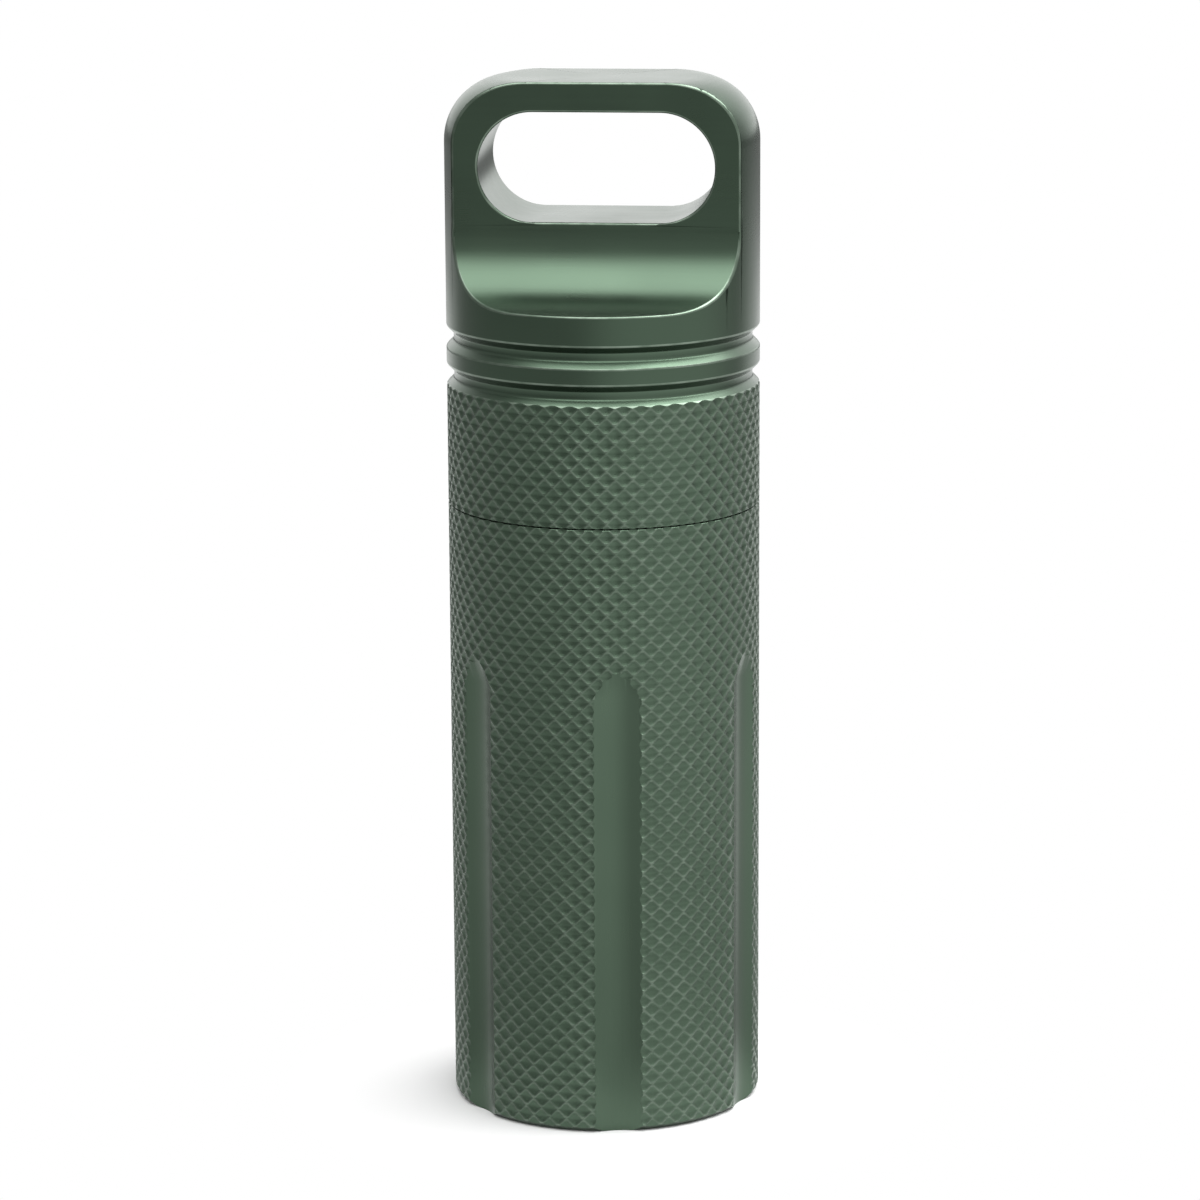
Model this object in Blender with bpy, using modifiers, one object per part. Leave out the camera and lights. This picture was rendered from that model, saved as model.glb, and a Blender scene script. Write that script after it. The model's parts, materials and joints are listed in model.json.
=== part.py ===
"""Waterproof pocket capsule with a hanging loop.

A turned tube with a closed base and six flutes, a cap milled from the same bar whose hollow
threaded plug screws into the tube, and the rubber ring that seals the plug in the tube's mouth.
Metres, +Z up. The origin is the middle of the base, and the loop's flat faces look along Y.
"""

import math

import bmesh
import bpy

MM = 0.001

# Outside of the tube
OUTER_RADIUS = 12.75 * MM
TUBE_HEIGHT = 50.15 * MM
BASE_CHAMFER = 0.5 * MM
EDGE_CHAMFER = 0.15 * MM

# Inside of the tube
TUBE_WALL = 3.75 * MM
BASE_THICKNESS = 3.0 * MM
FLOOR_FILLET = 1.0 * MM
MOUTH_WALL = 1.85 * MM
MOUTH_CHAMFER = 0.35 * MM
RELIEF_HEIGHT = 1.0 * MM

# Flutes of a round section, which start on a ramp and run straight down and off the base
FLUTE_COUNT = 6
FLUTE_SECTION_RADIUS = 4.0 * MM
FLUTE_DEPTH = 0.7 * MM
FLUTE_RAMP = 2.3 * MM
FLUTE_DROP = 11.4 * MM
FLUTE_TURN = math.radians(10)

# Screw thread, right-handed, with the clearance left all round the plug's ridge
THREAD_PITCH = 1.5 * MM
THREAD_CLEARANCE = 0.15 * MM
THREAD_DEPTH_SHARE = 0.5
THREAD_CREST_SHARE = 0.2
FLANK_ANGLE = math.radians(30)
RIDGE_STAGGER_SHARE = 0.5

# Plug of the cap
PLUG_LENGTH = 11.5 * MM
PLUG_WALL = 1.75 * MM
PLUG_SIDE_GAP = 0.4 * MM
PLUG_END_GAP = 0.45 * MM
PLUG_LAND_GAP = 0.2 * MM
PLUG_CHAMFER = 0.4 * MM

# Sealing ring and its groove in the plug
SEAL_SECTION = 1.5 * MM
SEAL_GAP = 0.15 * MM
SEAL_END_GAP = 0.25 * MM
UPPER_LAND = 1.15 * MM
LOWER_LAND = 0.8 * MM

# Outside of the cap, from the seam upwards
SEAM_GAP = 0.2 * MM
BAND_HEIGHT = 9.73 * MM
GROOVE_WIDTH = 1.8 * MM
GROOVE_DEPTH = 0.6 * MM
GROOVE_FLOOR = 0.6 * MM
BEAD_WIDTH = 1.3 * MM
BEAD_CHAMFER = 0.15 * MM
RING_HEIGHT = 2.42 * MM
SCALLOP_RADIUS = 6.0 * MM
SLOT_SILL = 0.4 * MM
SLOT_HEIGHT = 8.8 * MM
BAR_THICKNESS = 2.4 * MM
LOOP_THICKNESS = 10.6 * MM
LOOP_SIDE_WALL = 3.25 * MM
CORNER_RADIUS = 4.5 * MM
ROOF_THICKNESS = 5.4 * MM
ROOF_FILLET = 1.0 * MM

# How far a cutter runs past the surface that it cuts
OVERRUN = 2.0 * MM
MERGE_DISTANCE = 0.01 * MM

# Faces round a full turn, and along each kind of rounding
TURNED_STEPS = 48
SEAL_STEPS = 8
FILLET_STEPS = 7
SCALLOP_STEPS = 10
CORNER_STEPS = 8
SLOT_END_STEPS = 14
FLUTE_STEPS = 32
SMOOTH_ANGLE = math.radians(15)

# Thread and seal sizes that follow from the ones above
THREAD_DEPTH = THREAD_PITCH * THREAD_DEPTH_SHARE
THREAD_CREST = THREAD_PITCH * THREAD_CREST_SHARE
RIDGE_STAGGER = RIDGE_STAGGER_SHARE / TURNED_STEPS
SEAL_GROOVE_WIDTH = SEAL_SECTION + 2 * SEAL_END_GAP
LAND_DROP = UPPER_LAND + SEAL_GROOVE_WIDTH + LOWER_LAND

# Radii that follow from the walls and clearances
CAVITY_RADIUS = OUTER_RADIUS - TUBE_WALL
MOUTH_RADIUS = OUTER_RADIUS - MOUTH_WALL
CREST_RADIUS = MOUTH_RADIUS - PLUG_SIDE_GAP
ROOT_RADIUS = CREST_RADIUS - THREAD_DEPTH
NUT_MINOR_RADIUS = ROOT_RADIUS + THREAD_CLEARANCE
NUT_MAJOR_RADIUS = CREST_RADIUS + THREAD_CLEARANCE
PLUG_BORE_RADIUS = ROOT_RADIUS - PLUG_WALL
SEAL_GROOVE_RADIUS = MOUTH_RADIUS - SEAL_SECTION - 2 * SEAL_GAP
SEAL_RADIUS = MOUTH_RADIUS - SEAL_GAP - SEAL_SECTION / 2

# Heights above the base
SHOULDER_Z = TUBE_HEIGHT + SEAM_GAP
PLUG_END_Z = SHOULDER_Z - PLUG_LENGTH
LEDGE_Z = PLUG_END_Z - PLUG_END_GAP
MOUTH_FLOOR_Z = SHOULDER_Z - LAND_DROP - PLUG_LAND_GAP
THREAD_START_Z = LEDGE_Z + RELIEF_HEIGHT / 2
SEAL_Z = SHOULDER_Z - UPPER_LAND - SEAL_GROOVE_WIDTH / 2

# Heights above the cap's shoulder, which is the cap's own origin
LOWER_GROOVE_Z = BAND_HEIGHT
BEAD_Z = LOWER_GROOVE_Z + GROOVE_WIDTH
UPPER_GROOVE_Z = BEAD_Z + BEAD_WIDTH
RING_Z = UPPER_GROOVE_Z + GROOVE_WIDTH
SCALLOP_Z = RING_Z + RING_HEIGHT
SLOT_Z = SCALLOP_Z + SCALLOP_RADIUS + SLOT_SILL
TOP_Z = SLOT_Z + SLOT_HEIGHT + BAR_THICKNESS
ROOF_Z = SCALLOP_Z - ROOF_THICKNESS


def clear_scene():
    """Remove what the startup scene holds."""
    for item in list(bpy.data.objects):
        bpy.data.objects.remove(item)


def add_collection(name):
    """Make a collection in the scene."""
    collection = bpy.data.collections.new(name)
    bpy.context.scene.collection.children.link(collection)
    return collection


def add_material(name, colour, roughness, metallic):
    """Make a Principled material of one colour."""
    material = bpy.data.materials.new(name)
    material.use_nodes = True
    shader = material.node_tree.nodes["Principled BSDF"]
    shader.inputs["Base Color"].default_value = (*colour, 1.0)
    shader.inputs["Roughness"].default_value = roughness
    shader.inputs["Metallic"].default_value = metallic
    return material


def add_object(name, mesh, collection, height=0.0):
    """Put a mesh on the capsule's axis at a height."""
    item = bpy.data.objects.new(name, mesh)
    item.location.z = height
    collection.objects.link(item)
    return item


def hide_cutter(item):
    """Keep a cutting shape out of the model."""
    item.hide_render = True
    item.display_type = "WIRE"


def arc(centre, radius, start, end, steps):
    """Points on a circle in a plane, both ends included."""
    points = []
    for step in range(steps + 1):
        angle = start + (end - start) * step / steps
        points.append((centre[0] + radius * math.cos(angle), centre[1] + radius * math.sin(angle)))
    return points


def profile_mesh(name, points, closed=False):
    """Edges through radius and height points, in the XZ plane."""
    count = len(points)
    edges = [(i, i + 1) for i in range(count - 1)]
    if closed:
        edges.append((count - 1, 0))
    mesh = bpy.data.meshes.new(name)
    mesh.from_pydata([(radius, 0.0, height) for radius, height in points], edges, [])
    return mesh


def add_screw(item, steps):
    """Turn a profile round the capsule's axis."""
    screw = item.modifiers.new("Turned", "SCREW")
    screw.axis = "Z"
    screw.steps = steps
    screw.render_steps = steps
    screw.use_merge_vertices = True
    screw.merge_threshold = MERGE_DISTANCE
    screw.use_smooth_shade = True
    return screw


def add_turned(name, points, collection, steps, height=0.0):
    """Make a solid of revolution from a profile that starts and ends on the axis."""
    item = add_object(name, profile_mesh(name, points), collection, height)
    add_screw(item, steps)
    return item


def baked_mesh(item):
    """Turn an object with its modifiers into a plain closed mesh, and remove the object."""
    graph = bpy.context.evaluated_depsgraph_get()
    mesh = bpy.data.meshes.new_from_object(item.evaluated_get(graph))
    mesh.name = item.name
    bpy.data.objects.remove(item)
    solid = bmesh.new()
    solid.from_mesh(mesh)
    bmesh.ops.remove_doubles(solid, verts=solid.verts, dist=MERGE_DISTANCE)
    bmesh.ops.holes_fill(solid, edges=solid.edges)
    bmesh.ops.recalc_face_normals(solid, faces=solid.faces)
    solid.to_mesh(mesh)
    solid.free()
    return mesh


def add_extruded(name, outline, depth, rotation, collection, height=0.0):
    """Make a cutter from a flat outline, as thick as the depth and turned into its plane."""
    curve = bpy.data.curves.new(name, "CURVE")
    curve.dimensions = "2D"
    curve.fill_mode = "BOTH"
    curve.extrude = depth / 2
    spline = curve.splines.new("POLY")
    spline.points.add(len(outline) - 1)
    for point, (across, up) in zip(spline.points, outline):
        point.co = (across, up, 0.0, 1.0)
    spline.use_cyclic_u = True
    guide = bpy.data.objects.new(name, curve)
    collection.objects.link(guide)
    cutter = add_object(name, baked_mesh(guide), collection, height)
    cutter.rotation_euler = rotation
    hide_cutter(cutter)
    return cutter


def add_boolean(item, other, operation):
    """Cut or join one object by another."""
    boolean = item.modifiers.new(other.name, "BOOLEAN")
    boolean.operation = operation
    boolean.solver = "EXACT"
    boolean.object = other


def finish_piece(item, material):
    """Apply a piece's modifiers, then give it its material and smooth faces with crisp edges."""
    graph = bpy.context.evaluated_depsgraph_get()
    mesh = bpy.data.meshes.new_from_object(item.evaluated_get(graph))
    item.modifiers.clear()
    item.data = mesh
    mesh.name = item.name
    mesh.materials.clear()
    mesh.materials.append(material)
    mesh.shade_smooth()
    mesh.set_sharp_from_angle(angle=SMOOTH_ANGLE)


def thread_outline(inner_radius, outer_radius, clearance):
    """Section of the thread's ridge at the start of its path, widened by a clearance."""
    slope = math.tan(FLANK_ANGLE)
    widening = clearance / math.cos(FLANK_ANGLE)
    inner_half = THREAD_CREST / 2 + (CREST_RADIUS - inner_radius) * slope + widening
    outer_half = THREAD_CREST / 2 + (CREST_RADIUS - outer_radius) * slope + widening
    return [
        (inner_radius, inner_half),
        (outer_radius, outer_half),
        (outer_radius, -outer_half),
        (inner_radius, -inner_half),
    ]


def add_ridge(name, outline, start, length, collection, height=0.0):
    """Run a section up a right-hand helix as one closed solid."""
    points = [(radius, start + along) for radius, along in outline]
    guide = add_object(name, profile_mesh(name, points, closed=True), collection)
    screw = add_screw(guide, TURNED_STEPS)
    screw.screw_offset = THREAD_PITCH
    screw.iterations = math.ceil(length / THREAD_PITCH) + 1
    ridge = add_object(name, baked_mesh(guide), collection, height)
    hide_cutter(ridge)
    return ridge


def tube_profile():
    """Inside of the tube from its floor to the rim, then down its outside to the base."""
    bore = NUT_MINOR_RADIUS
    step = MOUTH_RADIUS - bore
    relief_step = NUT_MAJOR_RADIUS - bore
    fillet = (CAVITY_RADIUS - FLOOR_FILLET, BASE_THICKNESS + FLOOR_FILLET)
    return [
        (0.0, BASE_THICKNESS),
        *arc(fillet, FLOOR_FILLET, -math.pi / 2, 0.0, FILLET_STEPS),
        (CAVITY_RADIUS, LEDGE_Z),
        (NUT_MAJOR_RADIUS, LEDGE_Z),
        (NUT_MAJOR_RADIUS, LEDGE_Z + RELIEF_HEIGHT),
        (bore, LEDGE_Z + RELIEF_HEIGHT + relief_step),
        (bore, MOUTH_FLOOR_Z - step),
        (MOUTH_RADIUS, MOUTH_FLOOR_Z),
        (MOUTH_RADIUS, TUBE_HEIGHT - MOUTH_CHAMFER),
        (MOUTH_RADIUS + MOUTH_CHAMFER, TUBE_HEIGHT),
        (OUTER_RADIUS - EDGE_CHAMFER, TUBE_HEIGHT),
        (OUTER_RADIUS, TUBE_HEIGHT - EDGE_CHAMFER),
        (OUTER_RADIUS, BASE_CHAMFER),
        (OUTER_RADIUS - BASE_CHAMFER, 0.0),
        (0.0, 0.0),
    ]


def flute_rings():
    """Round sections of a flute's cutter, from below the base to the outer end of its ramp."""
    inward = FLUTE_SECTION_RADIUS - FLUTE_DEPTH
    ramp_z = TUBE_HEIGHT - FLUTE_DROP - FLUTE_RAMP
    rise = FLUTE_RAMP + OVERRUN
    outward = inward + rise * FLUTE_DEPTH / FLUTE_RAMP
    rings = []
    for offset, height in ((inward, -OVERRUN), (inward, ramp_z), (outward, ramp_z + rise)):
        circle = arc((offset, 0.0), FLUTE_SECTION_RADIUS, 0.0, math.tau, FLUTE_STEPS)
        rings.append([(x, y, height) for x, y in circle[:-1]])
    return rings


def lofted_mesh(name, rings):
    """Closed mesh through rings of equally many points, from the lowest ring to the highest."""
    count = len(rings[0])
    faces = [list(reversed(range(count)))]
    for level in range(len(rings) - 1):
        low = level * count
        for i in range(count):
            j = (i + 1) % count
            faces.append((low + i, low + j, low + count + j, low + count + i))
    last = (len(rings) - 1) * count
    faces.append(list(range(last, last + count)))
    mesh = bpy.data.meshes.new(name)
    mesh.from_pydata([point for ring in rings for point in ring], [], faces)
    return mesh


def add_flute_cutters(collection):
    """Place the flutes' cutters round the tube."""
    cutters = []
    for index in range(FLUTE_COUNT):
        angle = FLUTE_TURN - math.pi / 2 + index * math.tau / FLUTE_COUNT
        name = f"flute_cutter_{index + 1}"
        cutter = add_object(name, lofted_mesh(name, flute_rings()), collection)
        cutter.location.x = OUTER_RADIUS * math.cos(angle)
        cutter.location.y = OUTER_RADIUS * math.sin(angle)
        cutter.rotation_euler.z = angle
        hide_cutter(cutter)
        cutters.append(cutter)
    return cutters


def add_tube(parts, cutters, material):
    """Make the tube with its flutes and the thread in its mouth."""
    tube = add_turned("capsule_body", tube_profile(), parts, TURNED_STEPS)
    outline = thread_outline(ROOT_RADIUS, NUT_MAJOR_RADIUS, THREAD_CLEARANCE)
    length = MOUTH_FLOOR_Z - THREAD_START_Z
    groove = add_ridge("tube_thread_cutter", outline, THREAD_START_Z, length, cutters)
    add_boolean(tube, groove, "DIFFERENCE")
    for cutter in add_flute_cutters(cutters):
        add_boolean(tube, cutter, "DIFFERENCE")
    finish_piece(tube, material)
    return tube


def groove_points(bottom):
    """One V groove of the cap, from its upper edge to its lower one."""
    middle = bottom + GROOVE_WIDTH / 2
    floor_radius = OUTER_RADIUS - GROOVE_DEPTH
    return [
        (OUTER_RADIUS, bottom + GROOVE_WIDTH),
        (floor_radius, middle + GROOVE_FLOOR / 2),
        (floor_radius, middle - GROOVE_FLOOR / 2),
        (OUTER_RADIUS, bottom),
    ]


def plug_points():
    """Outside of the plug, from the shoulder down to its end."""
    seal_bottom = -UPPER_LAND - SEAL_GROOVE_WIDTH
    return [
        (CREST_RADIUS, 0.0),
        (CREST_RADIUS, -UPPER_LAND),
        (SEAL_GROOVE_RADIUS, -UPPER_LAND),
        (SEAL_GROOVE_RADIUS, seal_bottom),
        (CREST_RADIUS, seal_bottom),
        (CREST_RADIUS, -LAND_DROP),
        (ROOT_RADIUS, -LAND_DROP - THREAD_DEPTH),
        (ROOT_RADIUS, PLUG_CHAMFER - PLUG_LENGTH),
        (ROOT_RADIUS - PLUG_CHAMFER, -PLUG_LENGTH),
    ]


def cap_profile():
    """Outside of the cap from its top down, then the plug and the hollow inside it."""
    fillet = (PLUG_BORE_RADIUS - ROOF_FILLET, ROOF_Z - ROOF_FILLET)
    corner = (OUTER_RADIUS - CORNER_RADIUS, TOP_Z - CORNER_RADIUS)
    upper = groove_points(UPPER_GROOVE_Z)
    lower = groove_points(LOWER_GROOVE_Z)
    upper[-1] = (OUTER_RADIUS - BEAD_CHAMFER, UPPER_GROOVE_Z)
    lower[0] = (OUTER_RADIUS - BEAD_CHAMFER, BEAD_Z)
    return [
        (0.0, TOP_Z),
        *arc(corner, CORNER_RADIUS, math.pi / 2, 0.0, CORNER_STEPS),
        *upper,
        (OUTER_RADIUS, UPPER_GROOVE_Z - BEAD_CHAMFER),
        (OUTER_RADIUS, BEAD_Z + BEAD_CHAMFER),
        *lower,
        (OUTER_RADIUS, EDGE_CHAMFER),
        (OUTER_RADIUS - EDGE_CHAMFER, 0.0),
        *plug_points(),
        (PLUG_BORE_RADIUS, -PLUG_LENGTH),
        *arc(fillet, ROOF_FILLET, 0.0, math.pi / 2, FILLET_STEPS),
        (0.0, ROOF_Z),
    ]


def scallop_outline():
    """Side view of what is milled off the front of the loop, down to its concave foot."""
    face = LOOP_THICKNESS / 2
    centre = (face + SCALLOP_RADIUS, SCALLOP_Z + SCALLOP_RADIUS)
    outside = max(OUTER_RADIUS, face + SCALLOP_RADIUS) + OVERRUN
    return [
        (face, TOP_Z + OVERRUN),
        *arc(centre, SCALLOP_RADIUS, math.pi, 1.5 * math.pi, SCALLOP_STEPS),
        (outside, SCALLOP_Z),
        (outside, TOP_Z + OVERRUN),
    ]


def slot_outline():
    """Front view of the loop's slot, a straight-sided hole with round ends."""
    radius = SLOT_HEIGHT / 2
    reach = OUTER_RADIUS - LOOP_SIDE_WALL - radius
    centre_z = SLOT_Z + radius
    right = arc((reach, centre_z), radius, -math.pi / 2, math.pi / 2, SLOT_END_STEPS)
    left = arc((-reach, centre_z), radius, math.pi / 2, 1.5 * math.pi, SLOT_END_STEPS)
    return right + left


def add_loop_cutters(collection):
    """Make the two scallops and the slot that shape the loop."""
    through = 2 * (OUTER_RADIUS + OVERRUN)
    front_view = (math.pi / 2, 0.0, 0.0)
    side_views = ((math.pi / 2, 0.0, math.pi / 2), (math.pi / 2, 0.0, -math.pi / 2))
    shapes = []
    for name, view in zip(("back_scallop", "front_scallop"), side_views):
        scallop = add_extruded(name, scallop_outline(), through, view, collection, SHOULDER_Z)
        shapes.append(scallop)
    slot = add_extruded("slot_cutter", slot_outline(), through, front_view, collection, SHOULDER_Z)
    shapes.append(slot)
    return shapes


def add_plug_thread(collection):
    """Make the plug's thread, cut a little proud and then turned to size between two bevels.

    Its faces are staggered against those of the core, so that no edges of the two fall together.
    """
    inner = ROOT_RADIUS - THREAD_CLEARANCE
    proud = CREST_RADIUS + THREAD_CLEARANCE
    start = THREAD_START_Z - SHOULDER_Z + THREAD_PITCH * RIDGE_STAGGER
    outline = thread_outline(inner, proud, 0.0)
    ridge = add_ridge("plug_thread", outline, start, -LAND_DROP - start, collection, SHOULDER_Z)
    ridge.rotation_euler.z = math.tau * RIDGE_STAGGER
    top = -LAND_DROP - THREAD_CLEARANCE
    low = -PLUG_LENGTH + PLUG_CHAMFER
    envelope = [
        (0.0, top),
        (CREST_RADIUS, top),
        (CREST_RADIUS, low + THREAD_DEPTH),
        (inner, low),
        (0.0, low),
    ]
    trim = add_turned("plug_thread_envelope", envelope, collection, TURNED_STEPS, SHOULDER_Z)
    hide_cutter(trim)
    add_boolean(ridge, trim, "INTERSECT")
    return ridge


def add_cap(parts, cutters, material):
    """Make the cap with its loop, its hollow and its threaded plug."""
    cap = add_turned("loop_cap", cap_profile(), parts, TURNED_STEPS, SHOULDER_Z)
    for shape in add_loop_cutters(cutters):
        add_boolean(cap, shape, "DIFFERENCE")
    add_boolean(cap, add_plug_thread(cutters), "UNION")
    finish_piece(cap, material)
    return cap


def add_seal(parts, material):
    """Make the sealing ring in the plug's groove."""
    bpy.ops.mesh.primitive_torus_add(
        major_segments=TURNED_STEPS,
        minor_segments=SEAL_STEPS,
        major_radius=SEAL_RADIUS,
        minor_radius=SEAL_SECTION / 2,
    )
    seal = bpy.context.active_object
    for collection in list(seal.users_collection):
        collection.objects.unlink(seal)
    parts.objects.link(seal)
    seal.name = "o_ring"
    seal.location.z = SEAL_Z
    finish_piece(seal, material)
    return seal


def main():
    clear_scene()
    parts = add_collection("waterproof_capsule")
    cutters = add_collection("cutters")
    anodised = add_material("green_anodised_aluminium", (0.058, 0.094, 0.064), 0.38, 1.0)
    rubber = add_material("black_nitrile_rubber", (0.02, 0.02, 0.02), 0.6, 0.0)
    add_tube(parts, cutters, anodised)
    add_cap(parts, cutters, anodised)
    add_seal(parts, rubber)


main()
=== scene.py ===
"""Looks of the waterproof capsule: dark green anodised aluminium, knurled, turned and milled.

Metres, +Z up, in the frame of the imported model: the origin is the middle of the base and the
loop's flat faces look along Y. Lengths are written in millimetres times MM.
"""

import json
import math

import bmesh
import bpy
from mathutils import Euler, Matrix, Vector

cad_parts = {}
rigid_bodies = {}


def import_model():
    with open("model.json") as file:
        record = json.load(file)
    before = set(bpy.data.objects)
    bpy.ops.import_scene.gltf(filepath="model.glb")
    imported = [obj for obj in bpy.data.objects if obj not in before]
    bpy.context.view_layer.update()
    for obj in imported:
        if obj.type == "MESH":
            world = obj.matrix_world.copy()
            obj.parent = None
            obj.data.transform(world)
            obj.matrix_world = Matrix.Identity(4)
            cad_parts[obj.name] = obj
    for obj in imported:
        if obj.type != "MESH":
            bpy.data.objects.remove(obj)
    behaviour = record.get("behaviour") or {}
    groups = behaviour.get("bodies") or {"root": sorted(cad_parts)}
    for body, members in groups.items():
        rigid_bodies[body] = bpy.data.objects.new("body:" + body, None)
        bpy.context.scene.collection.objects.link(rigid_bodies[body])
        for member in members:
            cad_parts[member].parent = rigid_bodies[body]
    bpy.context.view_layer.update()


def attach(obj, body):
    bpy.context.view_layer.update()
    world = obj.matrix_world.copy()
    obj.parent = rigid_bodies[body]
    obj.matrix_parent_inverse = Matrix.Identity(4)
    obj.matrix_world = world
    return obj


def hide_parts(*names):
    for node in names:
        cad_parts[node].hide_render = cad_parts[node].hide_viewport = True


for item in list(bpy.data.objects):
    bpy.data.objects.remove(item)
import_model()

MM = 0.001

# Outside of the tube; its rim all but meets the cap's shoulder, as on the real seam
OUTER_RADIUS = 12.75 * MM
RIM_Z = 50.3 * MM
BASE_CHAMFER = 0.5 * MM
SEAM_CHAMFER = 0.1 * MM

# Inside of the tube
CAVITY_RADIUS = 9.0 * MM
BASE_THICKNESS = 3.0 * MM
FLOOR_FILLET = 1.0 * MM
MOUTH_RADIUS = 10.9 * MM
MOUTH_CHAMFER = 0.5 * MM
MOUTH_FLOOR_Z = 46.2 * MM
LEDGE_Z = 38.4 * MM
RELIEF_HEIGHT = 1.0 * MM

# Flutes of a round section, which start on a ramp and run straight down and off the base
FLUTE_COUNT = 6
FLUTE_SECTION_RADIUS = 4.0 * MM
FLUTE_DEPTH = 0.7 * MM
FLUTE_RAMP = 2.3 * MM
FLUTE_TOP_Z = 38.75 * MM
FLUTE_TURN = math.radians(10)

# Diamond knurl, whose crests lie a hair under the turned surface
KNURL_TEETH = 56
KNURL_STEPS = 8
KNURL_DEPTH = 0.16 * MM
KNURL_SHARPNESS = 2.0
KNURL_SKIN = 0.01 * MM
KNURL_WALL = 1.0 * MM
KNURL_OVERRUN = 0.3 * MM

# Screw thread, right-handed
THREAD_PITCH = 1.5 * MM
THREAD_CLEARANCE = 0.15 * MM
CREST_RADIUS = 10.5 * MM
ROOT_RADIUS = 9.75 * MM
THREAD_CREST = 0.3 * MM
THREAD_CORNERS = 4
FLANK_ANGLE = math.radians(30)
PLUG_RUNOUT_TURNS = 0.35
TUBE_RUNOUT_TURNS = 0.1
THREAD_START_Z = 39.3 * MM

# Plug of the cap and its sealing ring
SHOULDER_Z = 50.35 * MM
PLUG_END_Z = 38.85 * MM
PLUG_BORE_RADIUS = 8.0 * MM
PLUG_CHAMFER = 0.4 * MM
UPPER_LAND = 1.15 * MM
LOWER_LAND = 0.8 * MM
SEAL_SECTION = 1.5 * MM
SEAL_GROOVE_WIDTH = 2.0 * MM
SEAL_GROOVE_RADIUS = 9.1 * MM
SEAL_RADIUS = 10.0 * MM
SEAL_Z = 48.2 * MM

# Outside of the cap
BAND_TOP_Z = 60.08 * MM
GROOVE_WIDTH = 1.8 * MM
GROOVE_DEPTH = 0.6 * MM
GROOVE_FLOOR = 0.6 * MM
BEAD_WIDTH = 1.3 * MM
SCALLOP_FOOT_Z = 67.4 * MM
SCALLOP_RADIUS = 6.0 * MM
SLOT_Z = 73.8 * MM
SLOT_HEIGHT = 8.8 * MM
TOP_Z = 85.0 * MM
LOOP_THICKNESS = 10.6 * MM
LOOP_SIDE_WALL = 3.25 * MM
CORNER_RADIUS = 5.1 * MM
ROOF_Z = 62.0 * MM
ROOF_FILLET = 1.0 * MM

# Edges broken by the lathe and by the tumbler
TURNED_EDGE = 0.1 * MM
LOOP_EDGE = 0.18 * MM
LONG_SIDE = 0.6 * MM

# How fine the rounded surfaces are, and how near points are merged
TURNED_STEPS = 192
THREAD_STEPS = 96
FILLET_STEPS = 8
CORNER_STEPS = 20
SCALLOP_STEPS = 40
SLOT_END_STEPS = 40
FLUTE_STEPS = 96
EDGE_STEPS = 4
SEAL_STEPS = 24
OVERRUN = 2.0 * MM
MERGE = 0.001 * MM
TIDY_MERGE = 0.03 * MM

# What counts as a crisp edge, as the strip of a rounded one, as flat, and as part of the seam
SHARP_ANGLE = math.radians(24)
STRIP_ANGLE = math.radians(14)
STRIP_WIDTH = 0.12 * MM
FLAT_ANGLE = math.radians(2)
FLAT_NORMAL = 0.999999
SEAM_REACH = 0.3 * MM

# Kinds of node that are used most, and the finish on which no edge is marked for wearing and a painted
# highlight
MATHS = "ShaderNodeMath"
NOISE = "ShaderNodeTexNoise"
KNURLED_FINISH = "anodised_aluminium_knurled"


def linear(hex_colour):
    """Turn an sRGB hex colour into linear values with full alpha."""
    values = []
    for start in (0, 2, 4):
        share = int(hex_colour[start:start + 2], 16) / 255
        values.append(share / 12.92 if share <= 0.04045 else ((share + 0.055) / 1.055) ** 2.4)
    return (*values, 1.0)


def add_node(tree, kind, inputs=None, **settings):
    """Add a node, set what it is, and give its inputs values or links.

    An input that is given a whole node takes that node's first output.
    """
    node = tree.nodes.new(kind)
    for name, value in settings.items():
        setattr(node, name, value)
    for key, value in (inputs or {}).items():
        source = value.outputs[0] if isinstance(value, bpy.types.Node) else value
        if isinstance(source, bpy.types.NodeSocket):
            tree.links.new(source, node.inputs[key])
        else:
            node.inputs[key].default_value = source
    return node


def new_tree(name, sockets):
    """Start a Geometry Nodes tree with named inputs and one geometry output."""
    tree = bpy.data.node_groups.new(name, "GeometryNodeTree")
    for label, kind in sockets:
        tree.interface.new_socket(label, in_out="INPUT", socket_type=kind)
    tree.interface.new_socket("Geometry", in_out="OUTPUT", socket_type="NodeSocketGeometry")
    return tree, tree.nodes.new("NodeGroupInput").outputs


def end_tree(tree, geometry, material):
    """Close a tree with real geometry and its material."""
    real = add_node(tree, "GeometryNodeRealizeInstances", {0: geometry})
    painted = add_node(tree, "GeometryNodeSetMaterial", {"Geometry": real, "Material": material})
    add_node(tree, "NodeGroupOutput", {0: painted})


def wrapped(tree, grid, radius, turn, height):
    """Wrap a grid round the capsule's axis and weld it where its ends meet."""
    across = add_node(tree, MATHS, {0: turn}, operation="COSINE")
    back = add_node(tree, MATHS, {0: turn}, operation="SINE")
    spot = add_node(tree, "ShaderNodeCombineXYZ", {
        0: add_node(tree, MATHS, {0: radius, 1: across}, operation="MULTIPLY"),
        1: add_node(tree, MATHS, {0: radius, 1: back}, operation="MULTIPLY"),
        2: height,
    })
    bent = add_node(tree, "GeometryNodeSetPosition", {"Geometry": grid, "Position": spot})
    return add_node(tree, "GeometryNodeMergeByDistance", {"Geometry": bent, "Distance": MERGE})


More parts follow.
